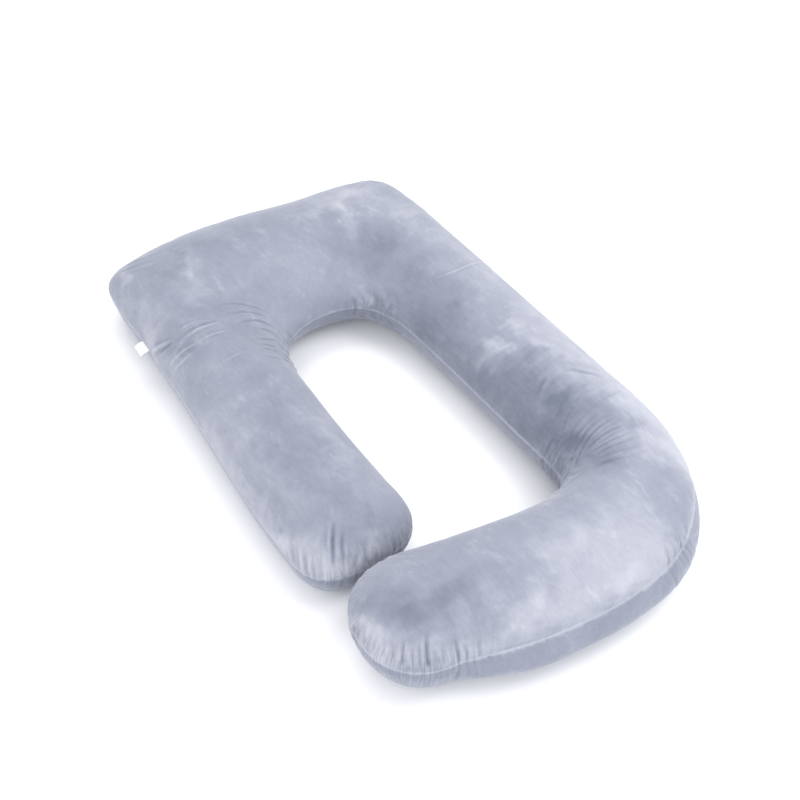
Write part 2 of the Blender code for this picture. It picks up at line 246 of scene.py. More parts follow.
def spot_share(points):
    """How much a place is gathered by the strongest spot, from 0 to 1."""
    deepest = max(spot.depth for spot in SPOTS)
    return np.max([fullness(spot, points) * spot.depth / deepest for spot in SPOTS], axis=0)


# Folds and creases. Each runs along the flat panel from one place through a second to a third. The side is
# 1 on the upper panel and -1 on the lower one. The depth goes inwards, so a ridge has one below zero. Start
# is the share of the depth that the fold has where it starts: none in open cloth, and some at the stitches.
Fold = namedtuple("Fold", "side x1 y1 x2 y2 x3 y3 depth width start")
FOLDS = [Fold(1, *row) for row in [
    # across the long arm
    (0.251, 0.182, 0.308, 0.163, 0.385, 0.184, -0.0028, 0.0027, 0.2),
    (0.345, 0.152, 0.357, 0.140, 0.362, 0.122, -0.0018, 0.0045, 0.2),
    # round the inner bend of the foot
    (0.270, -0.206, 0.245, -0.222, 0.227, -0.239, 0.0015, 0.0042, 0.0),
    (0.319, -0.262, 0.303, -0.235, 0.281, -0.223, 0.0019, 0.0042, 0.0),
    (0.335, -0.285, 0.318, -0.255, 0.294, -0.242, 0.0019, 0.0042, 0.0),
    (0.219, -0.312, 0.241, -0.295, 0.265, -0.284, 0.0011, 0.0028, 0.0),
    (0.256, -0.311, 0.274, -0.302, 0.291, -0.293, 0.0011, 0.0027, 0.0),
    (0.291, -0.337, 0.317, -0.334, 0.339, -0.328, 0.0011, 0.0027, 0.0),
    (0.205, -0.350, 0.235, -0.325, 0.270, -0.312, 0.0010, 0.0028, 0.1),
    (0.200, -0.372, 0.232, -0.356, 0.275, -0.343, 0.0011, 0.0027, 0.1),
    (0.196, -0.392, 0.235, -0.372, 0.285, -0.360, 0.0013, 0.0026, 0.1),
    (0.169, -0.443, 0.195, -0.421, 0.226, -0.408, 0.0015, 0.0026, 0.3),
    (0.160, -0.432, 0.182, -0.412, 0.212, -0.396, 0.0012, 0.0026, 0.3),
    (0.195, -0.408, 0.233, -0.386, 0.278, -0.376, 0.0022, 0.0025, 0.2),
    (0.205, -0.413, 0.249, -0.395, 0.296, -0.389, 0.0026, 0.0025, 0.2),
    (0.213, -0.420, 0.250, -0.406, 0.285, -0.404, 0.0012, 0.0024, 0.1),
    (0.205, -0.428, 0.249, -0.415, 0.297, -0.417, 0.0026, 0.0025, 0.2),
    (0.222, -0.434, 0.255, -0.427, 0.290, -0.429, 0.0012, 0.0024, 0.1),
    (0.205, -0.440, 0.247, -0.438, 0.295, -0.439, 0.0022, 0.0025, 0.2),
    (0.205, -0.453, 0.245, -0.453, 0.290, -0.458, 0.0019, 0.0025, 0.2),
    (0.205, -0.466, 0.240, -0.472, 0.276, -0.482, 0.0012, 0.0028, 0.2),
    (0.179, -0.478, 0.222, -0.487, 0.262, -0.505, 0.0014, 0.0044, 0.2),
    # across the short arm beside the tag
    (-0.348, 0.372, -0.330, 0.352, -0.306, 0.338, 0.0020, 0.0032, 0.1),
    (-0.300, 0.352, -0.276, 0.356, -0.246, 0.352, -0.0020, 0.0031, 0.0),
    (-0.352, 0.296, -0.322, 0.282, -0.290, 0.272, -0.0020, 0.0031, 0.1),
    (-0.357, 0.404, -0.335, 0.369, -0.312, 0.341, -0.0040, 0.0031, 0.5),
    (-0.234, 0.332, -0.274, 0.329, -0.330, 0.316, -0.0036, 0.0029, 0.1),
    (-0.228, 0.341, -0.272, 0.341, -0.322, 0.331, 0.0024, 0.0034, 0.0),
    (-0.288, 0.293, -0.313, 0.300, -0.356, 0.318, -0.0036, 0.0029, 0.1),
    (-0.233, 0.298, -0.260, 0.299, -0.288, 0.293, -0.0028, 0.0029, 0.1),
    (-0.224, 0.389, -0.233, 0.400, -0.243, 0.408, -0.0010, 0.0040, 0.0),
    # out of the head end of the slot, into the short arm
    (-0.129, 0.363, -0.170, 0.391, -0.215, 0.386, 0.0021, 0.0034, 0.3),
    (-0.141, 0.347, -0.177, 0.362, -0.221, 0.351, 0.0023, 0.0034, 0.3),
    (-0.139, 0.310, -0.168, 0.333, -0.210, 0.318, 0.0030, 0.0036, 0.3),
    (-0.151, 0.294, -0.167, 0.303, -0.190, 0.302, 0.0022, 0.0032, 0.3),
    (-0.158, 0.270, -0.181, 0.265, -0.205, 0.257, 0.0022, 0.0032, 0.3),
    (-0.173, 0.236, -0.189, 0.240, -0.210, 0.239, 0.0024, 0.0032, 0.3),
    (-0.180, 0.216, -0.196, 0.220, -0.219, 0.218, 0.0020, 0.0032, 0.3),
    (-0.189, 0.180, -0.201, 0.187, -0.222, 0.193, 0.0018, 0.0032, 0.3),
    (-0.237, 0.219, -0.264, 0.212, -0.295, 0.202, -0.0018, 0.0032, 0.0),
    # the gathered end of the short arm
    (-0.400, -0.212, -0.393, -0.195, -0.388, -0.180, -0.0012, 0.0040, 0.3),
    (-0.414, -0.259, -0.403, -0.246, -0.392, -0.232, -0.0018, 0.0036, 0.5),
    (-0.408, -0.268, -0.398, -0.255, -0.389, -0.245, 0.0012, 0.0026, 0.5),
    (-0.412, -0.296, -0.395, -0.277, -0.381, -0.260, -0.0036, 0.0028, 0.7),
    (-0.406, -0.303, -0.394, -0.288, -0.384, -0.276, 0.0015, 0.0026, 0.6),
    (-0.403, -0.312, -0.389, -0.296, -0.376, -0.280, -0.0032, 0.0028, 0.7),
    (-0.388, -0.324, -0.376, -0.308, -0.364, -0.294, 0.0014, 0.0036, 0.6),
    (-0.370, -0.336, -0.361, -0.326, -0.351, -0.317, -0.0022, 0.0028, 0.8),
    (-0.362, -0.332, -0.340, -0.296, -0.316, -0.268, 0.0042, 0.0028, 0.4),
    (-0.349, -0.300, -0.339, -0.287, -0.327, -0.272, -0.0022, 0.0030, 0.2),
    (-0.346, -0.338, -0.330, -0.308, -0.313, -0.288, 0.0032, 0.0027, 0.5),
    (-0.330, -0.342, -0.320, -0.334, -0.303, -0.320, 0.0016, 0.0027, 0.5),
    (-0.305, -0.344, -0.298, -0.328, -0.288, -0.312, 0.0018, 0.0040, 0.5),
    # the gathered tip of the foot
    (-0.411, -0.501, -0.398, -0.490, -0.382, -0.478, 0.0016, 0.0027, 0.5),
    (-0.410, -0.517, -0.396, -0.508, -0.386, -0.501, 0.0012, 0.0026, 0.5),
    (-0.404, -0.540, -0.389, -0.530, -0.374, -0.522, 0.0016, 0.0027, 0.5),
    (-0.394, -0.558, -0.380, -0.543, -0.369, -0.535, 0.0014, 0.0026, 0.6),
    (-0.386, -0.572, -0.376, -0.559, -0.370, -0.548, 0.0012, 0.0026, 0.6),
    (-0.379, -0.586, -0.366, -0.573, -0.353, -0.559, 0.0034, 0.0027, 0.6),
    (-0.367, -0.600, -0.358, -0.586, -0.351, -0.577, 0.0014, 0.0026, 0.6),
    (-0.357, -0.606, -0.347, -0.589, -0.340, -0.580, 0.0012, 0.0026, 0.6),
    (-0.346, -0.614, -0.334, -0.591, -0.318, -0.570, 0.0044, 0.0027, 0.7),
    (-0.334, -0.620, -0.329, -0.606, -0.323, -0.592, 0.0012, 0.0026, 0.6),
    (-0.322, -0.626, -0.317, -0.609, -0.312, -0.597, 0.0020, 0.0026, 0.6),
    (-0.310, -0.632, -0.306, -0.620, -0.303, -0.610, 0.0012, 0.0026, 0.6),
    (-0.299, -0.639, -0.293, -0.617, -0.292, -0.600, 0.0026, 0.0027, 0.7),
    (-0.283, -0.648, -0.281, -0.630, -0.281, -0.613, 0.0016, 0.0027, 0.6),
    (-0.262, -0.656, -0.259, -0.640, -0.258, -0.628, 0.0018, 0.0038, 0.6),
    # the near side of the bend
    (0.151, -0.706, 0.156, -0.684, 0.150, -0.655, 0.0018, 0.0034, 0.5),
    (0.170, -0.702, 0.176, -0.684, 0.168, -0.662, 0.0013, 0.0034, 0.5),
    (0.195, -0.694, 0.200, -0.680, 0.196, -0.662, 0.0013, 0.0034, 0.5),
]]
# on the lower panel, at the tip of the foot and on the near side of the bend
FOLDS += [Fold(-1, *row) for row in [
    (-0.346, -0.612, -0.339, -0.598, -0.334, -0.585, 0.0016, 0.0028, 0.7),
    (-0.301, -0.637, -0.296, -0.618, -0.291, -0.600, 0.0016, 0.0028, 0.7),
    (-0.383, -0.587, -0.377, -0.578, -0.370, -0.571, 0.0010, 0.0040, 0.7),
    (0.155, -0.704, 0.150, -0.680, 0.143, -0.660, 0.0010, 0.0040, 0.5),
]]
FOLD_PIECES = 10
FOLD_RISE = 0.3         # share of a fold's length over which it grows to its full depth
FOLD_FALL = 0.45        # and over which it fades out again
RIM = 0.35              # how high the cloth stands beside a fold, as a share of its depth
RIM_PLACE = 2.0         # how far away that is, in widths of the fold
WIDEST = 4.5            # a fold is felt up to here, in widths


def fold_line(fold):
    """Points along a fold on the flat panel."""
    share = np.linspace(0, 1, FOLD_PIECES + 1)[:, None]
    first = np.array([[fold.x1, fold.y1]])
    last = np.array([[fold.x3, fold.y3]])
    bend = 2 * np.array([[fold.x2, fold.y2]]) - (first + last) / 2
    return first * (1 - share) ** 2 + 2 * bend * share * (1 - share) + last * share**2


def beside_fold(line, places):
    """How far places are from a fold's line, and the share of its length that they are along it."""
    away = np.full(len(places), np.inf)
    along = np.zeros(len(places))
    for number, (start, end) in enumerate(zip(line, line[1:])):
        step = end - start
        share = np.clip((places - start) @ step / (step @ step), 0, 1)
        distance = np.linalg.norm(places - start - share[:, None] * step, axis=1)
        nearer = distance < away
        away[nearer] = distance[nearer]
        along[nearer] = (number + share[nearer]) / FOLD_PIECES
    return away, along


def around_fold(line, places, reach):
    """Numbers of the places in the box that reaches this far round a fold's line."""
    within = (places > line.min(axis=0) - reach) & (places < line.max(axis=0) + reach)
    return np.flatnonzero(within.all(axis=1))


def close_to_fold(points):
    """Whether flat points are so close to a fold that the cloth is cut up finely there."""
    near = np.zeros(len(points), bool)
    for fold in FOLDS:
        line = fold_line(fold)
        chosen = around_fold(line, points, FOLD_EDGE)
        near[chosen] |= beside_fold(line, points[chosen])[0] < FOLD_EDGE
    return near


def lattice_points(seam):
    """Points of an even lattice in the upper and in the lower panel, fewer of them where it is smooth."""
    low = seam[:, :2].min(axis=0)
    high = seam[:, :2].max(axis=0)
    tall = math.sqrt(0.75)  # height of a triangle with three sides of 1
    rows = int((high[1] - low[1]) / (LATTICE * tall)) + 1
    columns = int((high[0] - low[0]) / LATTICE) + 1
    row, column = (index.ravel() for index in np.mgrid[0:rows, 0:columns])
    x = low[0] + (column + 0.5 * (row % 2)) * LATTICE
    points = np.column_stack([x, low[1] + row * LATTICE * tall])
    away, _ = beside_seam(points, seam)
    kept = away > CLEAR_EDGE * LATTICE
    # Every third point, and every ninth one, makes a wider lattice of the same kind
    across = column - row // 2
    third = (across - row) % 3 == 0
    ninth = (across % 3 == 0) & (row % 3 == 0)
    busy = spot_share(points) > 0
    folded = close_to_fold(points)
    upper = kept & (third | busy | folded | (away < FINE_EDGE))
    lower = kept & (ninth | (third & (away < BROAD_EDGE)) | (away < FINE_EDGE) | (busy & (away < BROAD_EDGE)))
    return points[upper], points[lower]


def cut_panel(seam, inside):
    """Triangles of a flat panel with the seam as its edge. The seam's points come first."""
    count = len(seam)
    places = [Vector(place) for place in np.vstack([seam[:, :2], inside])]
    edges = [(number, (number + 1) % count) for number in range(count)]
    corners, _, faces, origins, _, _ = delaunay_2d_cdt(places, edges, [], INSIDE_EDGES, SAME_PLACE)
    given = [origin[0] for origin in origins]
    triangles = np.array([[given[corner] for corner in face] for face in faces])
    used = np.unique(np.concatenate([np.arange(count), triangles.ravel()]))
    order = np.full(len(places), -1)
    order[used] = np.arange(len(used))
    return np.array([places[number] for number in used]), order[triangles]


def lift(flat_points, tree, quads, flat, shaped):
    """Takes flat points to the filled pillow's panel, between the ribs around each."""
    lifted = np.empty((len(flat_points), 3))
    for number, point in enumerate(flat_points):
        place, _, face, _ = tree.find_nearest((point[0], point[1], 0.0))
        corners = quads[face]
        weights = poly_3d_calc([(*flat[corner], 0.0) for corner in corners], place)
        lifted[number] = np.dot(weights, shaped[list(corners)])
    return lifted


def filled_pillow():
    """The closed pillow before its folds: points, places on the flat panels, panel signs, triangles, seam."""
    ring = rib_ring()
    flat, upper, lower = (grid.reshape(-1, grid.shape[-1]) for grid in rib_points(ring))
    ribs = len(ring[0])
    quads = []
    for rib in range(ribs):
        skip = ((rib + 1) % ribs - rib) * RIB_STEPS
        first = rib * RIB_STEPS
        quads += [(a, a + 1, a + 1 + skip, a + skip) for a in range(first, first + RIB_STEPS - 1)]
    tree = BVHTree.FromPolygons([(x, y, 0.0) for x, y in flat], quads)
    seam = even_seam(ring[0])
    over, under = lattice_points(seam)
    count = len(seam)
    over, over_faces = cut_panel(seam, over)
    under, under_faces = cut_panel(seam, under)
    points = np.vstack([
        seam,
        lift(over[count:], tree, quads, flat, upper),
        lift(under[count:], tree, quads, flat, lower),
    ])
    places = np.vstack([over, under[count:]])
    side = np.concatenate([np.zeros(count), np.ones(len(over) - count), -np.ones(len(under) - count)])
    shifted = np.where(under_faces < count, under_faces, under_faces + len(over) - count)
    faces = np.vstack([over_faces, shifted[:, ::-1]])
    return points, places, side, faces, seam


def make_mesh(name, points, faces):
    """A mesh from arrays of points and of faces."""
    mesh = bpy.data.meshes.new(name)
    mesh.from_pydata([tuple(point) for point in points], [], [tuple(face) for face in faces.tolist()])
    mesh.update()
    return mesh


def add_object(name, data):
    """Adds an object to the scene: a mesh, a lamp or the camera."""
    piece = bpy.data.objects.new(name, data)
    bpy.context.scene.collection.objects.link(piece)
    return piece


# The filling presses the cover out, while the seam and the flat underside stay where they are
CLOTH_STEPS = 24
CLOTH = {
    "quality": 6,
    "mass": 0.3,
    "tension_stiffness": 30.0,
    "compression_stiffness": 30.0,
    "shear_stiffness": 10.0,
    "bending_stiffness": 0.03,
    "use_pressure": True,
    "uniform_pressure_force": 8.0,
    "vertex_group_mass": "held",
    "vertex_group_shrink": "snug",
    "shrink_max": 0.0,
    "shrink_min": -0.08,    # slack cloth is this much longer than the seam it is gathered into
}
SLACK_REACH = 0.070     # how far in from the seam it is slack
RESTING = 0.001         # the underside is held where it is lower than this
MOST_MOVE = 0.014       # moves are eased off towards this much
UNEVEN = 0.00015        # a little unevenness, so that slack cloth puckers
UNEVEN_SEED = 11
BROAD_ROUNDS = 24       # rounds of averaging that leave only what is broad
LEAST_LENGTH = 1e-9     # lengths and areas that something is divided by are at least these
LEAST_AREA = 1e-12


def sums(size, index, values):
    """Sums of the rows of values that belong to each index."""
    return np.column_stack([np.bincount(index, column, size) for column in values.T])


def broad_part(values, faces, still):
    """What is left of the points' moves when each is averaged with its neighbours', over and over."""
    ends = faces.ravel()
    others = faces[:, [1, 2, 0]].ravel()
    count = np.bincount(ends, minlength=len(values))[:, None]
    for _ in range(BROAD_ROUNDS):
        values = (values + sums(len(values), ends, values[others]) / count) / 2
        values[still] = 0.0
    return values


def press_out(cover):
    """Runs the cloth for all its steps, takes the cover away again and gives where its points were."""
    cloth = cover.modifiers.new("cloth", "CLOTH")
    cloth.point_cache.frame_start = 1
    cloth.point_cache.frame_end = CLOTH_STEPS
    cloth.settings.effector_weights.gravity = 0.0
    for name, value in CLOTH.items():
        setattr(cloth.settings, name, value)
    scene = bpy.context.scene
    for step in range(1, CLOTH_STEPS + 1):
        scene.frame_set(step)
    final = cover.evaluated_get(bpy.context.evaluated_depsgraph_get()).data
    moved = np.empty(len(final.vertices) * 3)
    final.vertices.foreach_get("co", moved)
    scene.frame_set(1)
    bpy.data.objects.remove(cover)
    return moved.reshape(-1, 3)


def swell(points, places, side, faces, seam):
    """The points after the filling has pressed the cover out and slack cloth has puckered beside the seam.

    What is broad in that is taken off again, because the outline was measured on the filled pillow.
    """
    chance = np.random.default_rng(UNEVEN_SEED)
    start = points + chance.normal(0.0, UNEVEN, points.shape) * (side != 0)[:, None]
    start[:, 2] = np.where(points[:, 2] < UNEVEN, 0.0, start[:, 2])
    cover = add_object("cover", make_mesh("cover", start, faces))
    held = cover.vertex_groups.new(name="held")
    still = (side == 0) | ((side < 0) & (points[:, 2] < RESTING))
    held.add(np.flatnonzero(still).tolist(), 1.0, "REPLACE")
    snug = cover.vertex_groups.new(name="snug")
    away, _ = beside_seam(places, seam)
    share = 1 - spot_share(places) * np.exp(-((away / SLACK_REACH) ** 2))
    for number, weight in enumerate(share.tolist()):
        snug.add([number], weight, "REPLACE")
    change = press_out(cover) - points
    length = np.linalg.norm(change, axis=1)
    kept = MOST_MOVE * np.tanh(length / MOST_MOVE) / np.maximum(length, LEAST_LENGTH)
    change *= kept[:, None]
    moved = points + change - broad_part(change, faces, still)
    moved[:, 2] = np.maximum(moved[:, 2], 0.0)
    return moved


def subdivide(points, places, side, faces, seam_count):
    """Cuts every triangle into four and smooths the points, but keeps the seam as the edge of both panels.

    The weights are the usual ones for triangles, which lead to a smooth surface.
    """
    pairs = np.sort(faces[:, [0, 1, 1, 2, 2, 0]].reshape(-1, 2), axis=1)
    edges, edge_of = np.unique(pairs, axis=0, return_inverse=True)
    edge_of = edge_of.ravel()
    opposite = faces[:, [2, 0, 1]].ravel()
    step = edges[:, 1] - edges[:, 0]
    stitched = (edges[:, 1] < seam_count) & ((step == 1) | (step == seam_count - 1))
    whole = np.column_stack([points, places])
    far = sums(len(edges), edge_of, whole[opposite])
    near = whole[edges[:, 0]] + whole[edges[:, 1]]
    cut = np.where(stitched[:, None], near / 2, near * 3 / 8 + far / 8)
    ends = np.concatenate([edges[:, 0], edges[:, 1]])
    others = np.concatenate([edges[:, 1], edges[:, 0]])
    count = np.bincount(ends, minlength=len(whole))[:, None]
    pull = np.where(count > 3, 3 / (8 * np.maximum(count, 1)), 3 / 16)
    smooth = whole * (1 - count * pull) + sums(len(whole), ends, whole[others]) * pull
    along = np.arange(seam_count)
    beside = whole[(along - 1) % seam_count] + whole[(along + 1) % seam_count]
    smooth[:seam_count] = whole[:seam_count] * 3 / 4 + beside / 8
    values = np.vstack([smooth, cut])
    signs = np.concatenate([side, np.sign(side[edges[:, 0]] + side[edges[:, 1]])])
    a, b, c = faces.T
    ab, bc, ca = (edge_of.reshape(-1, 3) + len(whole)).T
    quarters = [(a, ab, ca), (b, bc, ab), (c, ca, bc), (ab, bc, ca)]
    fine = np.vstack([np.column_stack(corners) for corners in quarters])
    stitches = np.flatnonzero(stitched) + len(whole)
    signs[stitches] = 0
    seam_edges = np.vstack([np.column_stack([edges[stitched, end], stitches]) for end in (0, 1)])
    return values[:, :3], values[:, 3:], signs, fine, seam_edges


def outward(points, faces):
    """The direction straight out of the cloth at each point."""
    a, b, c = (points[faces[:, corner]] for corner in range(3))
    across = np.cross(b - a, c - a)
    total = sum(sums(len(points), faces[:, corner], across) for corner in range(3))
    return total / np.maximum(np.linalg.norm(total, axis=1), LEAST_AREA)[:, None]


def fold_depths(folds, places, side):
    """How deep the folds press the cloth in at each of its points."""
    depths = np.zeros(len(places))
    for fold in folds:
        line = fold_line(fold)
        chosen = around_fold(line, places, WIDEST * fold.width)
        chosen = chosen[side[chosen] * fold.side >= 0]
        away, along = beside_fold(line, places[chosen])
        across = away / fold.width
        shape = np.exp(-(across**2)) - RIM * np.exp(-((across - RIM_PLACE) ** 2))
        taper = np.minimum(1, fold.start + along / FOLD_RISE) * np.minimum(1, (1 - along) / FOLD_FALL)
        depths[chosen] += fold.depth * shape * taper
    return depths


LEAST_FULL = 0.1        # less cloth than this is eased in without a gather
GATHER_TURN = 0.25      # how much a gather strays from square to the seam, and how much it bends
GATHER_BEND = 0.06
GATHER_START = 0.4      # share of its depth that it has at the stitches
GATHER_SEED = 5
# Between which shares of its spot's spacing, depth and reach a single gather's are, how wide it is in
# spacings, and how much of its depth and reach it has on the lower panel
GATHER_SPACINGS = (0.5, 1.5)
GATHER_DEPTHS = (0.4, 1.4)
GATHER_REACHES = (0.5, 1.4)
GATHER_WIDTHS = (0.16, 0.26)
GATHER_UNDERS = (0.4, 0.9)


def gathers(seam):
    """Uneven gathers that run from the seam into both panels, where the cloth was sewn in fuller."""
    chance = np.random.default_rng(GATHER_SEED)
    inwards = np.roll(seam[:, :2], -1, axis=0) - np.roll(seam[:, :2], 1, axis=0)
    inwards = np.column_stack([inwards[:, 1], -inwards[:, 0]])
    inwards /= np.linalg.norm(inwards, axis=1)[:, None]
    folds = []
    for spot in SPOTS:
        full = fullness(spot, seam[:, :2])
        number = 0
        while number < len(seam):
            step = spot.spacing * chance.uniform(*GATHER_SPACINGS) / LATTICE
            if full[number] > LEAST_FULL:
                start = seam[number, :2]
                turn = chance.normal(0.0, GATHER_TURN)
                bend = chance.normal(0.0, GATHER_BEND)
                depth = spot.depth * full[number] * chance.uniform(*GATHER_DEPTHS)
                reach = spot.reach * (1 + full[number]) / 2 * chance.uniform(*GATHER_REACHES)
                width = spot.spacing * chance.uniform(*GATHER_WIDTHS)
                x, y = inwards[number]
                heading = np.array([x - turn * y, y + turn * x])
                side_step = np.array([-heading[1], heading[0]])
                for side, share in ((1, 1.0), (-1, chance.uniform(*GATHER_UNDERS))):
                    middle = start + (heading * 0.5 + side_step * bend) * reach * share
                    end = start + heading * reach * share
                    folds.append(Fold(side, *start, *middle, *end, depth * share, width, GATHER_START))
            number += max(1, round(step))
    return folds


# The tag is a folded piece of tape, caught in the outer seam of the short arm
TAG_PLACE = PLACES["head_start"] + 0.80    # this share of the way from there to the next section
TAG_ASIDE = 0.05        # share of it on each side, over which the tag's direction is taken
TAG_WIDTH = 0.037
TAG_LENGTH = 0.021      # how far it stands out of the seam
TAG_TUCK = 0.006        # how far each of its ends goes into the seam
TAG_DROOP = 0.008
TAG_THICKNESS = 0.00035
TAG_GAP = 0.0011        # between the middles of its two layers at the fold
TAG_STEPS = 24
TAG_COLUMNS = 16
TAG_TURN_STEPS = 9      # round the fold
TAG_SHUT = 0.2          # how open its two layers stay where they are sewn in, as a share of the gap
TAG_TWIST = 0.25        # how much further one side hangs than the middle
TAG_RIPPLE = 0.0006
TAG_RIPPLE_TURN = 5.0   # how far round its wave the ripple goes from side to side, and where it starts
TAG_RIPPLE_START = 0.8


def tag_sheet():
    """Middle surface of the folded tape: rows along its length, and points across its width."""
    before, place, after = sections_at(TAG_PLACE + TAG_ASIDE * np.array([-1, 0, 1]))[:, OUTER]
    along = (after - before)[:2] / np.linalg.norm((after - before)[:2])
    out = np.array([-along[1], along[0]])
    reach = np.linspace(-TAG_TUCK, TAG_LENGTH - TAG_GAP / 2, TAG_STEPS)
    turn = np.linspace(0, math.pi, TAG_TURN_STEPS)[1:-1]
    path_out = np.concatenate([reach, reach[-1] + np.sin(turn) * TAG_GAP / 2, reach[::-1]])
    layer = np.concatenate([np.ones(TAG_STEPS), np.cos(turn), -np.ones(TAG_STEPS)])
    opening = np.clip(path_out / TAG_LENGTH, TAG_SHUT, 1.0)
    share = np.clip(path_out / TAG_LENGTH, 0.0, 1.0)
    across = np.linspace(-0.5, 0.5, TAG_COLUMNS)
    droop = TAG_DROOP * share[:, None] ** 2 * (1 + TAG_TWIST * across[None, :])
    ripple = TAG_RIPPLE * share[:, None] * np.sin(TAG_RIPPLE_TURN * across[None, :] + TAG_RIPPLE_START)
    height = place[2] + (layer * opening)[:, None] * TAG_GAP / 2 - droop + ripple
    flat = place[:2] + path_out[:, None, None] * out + across[None, :, None] * TAG_WIDTH * along
    return np.dstack([flat, height])


def thick_sheet(grid, thickness):
    """Points and faces of a sheet of this thickness around a grid of points."""
    rows, columns = grid.shape[:2]
    across = np.cross(np.gradient(grid, axis=0), np.gradient(grid, axis=1))
    across *= thickness / 2 / np.linalg.norm(across, axis=2)[:, :, None]
    points = np.vstack([(grid + across).reshape(-1, 3), (grid - across).reshape(-1, 3)])
    index = np.arange(rows * columns).reshape(rows, columns)
    a, b, c, d = (part.ravel() for part in (index[:-1, :-1], index[:-1, 1:], index[1:, 1:], index[1:, :-1]))
    behind = rows * columns
    faces = [np.column_stack([a, d, c, b]), np.column_stack([a, b, c, d]) + behind]
    rim = np.concatenate([index[0, :-1], index[:-1, -1], index[-1, :0:-1], index[:0:-1, 0]])
    after = np.roll(rim, -1)
    faces.append(np.column_stack([rim, after, after + behind, rim + behind]))
    return points, np.vstack(faces)


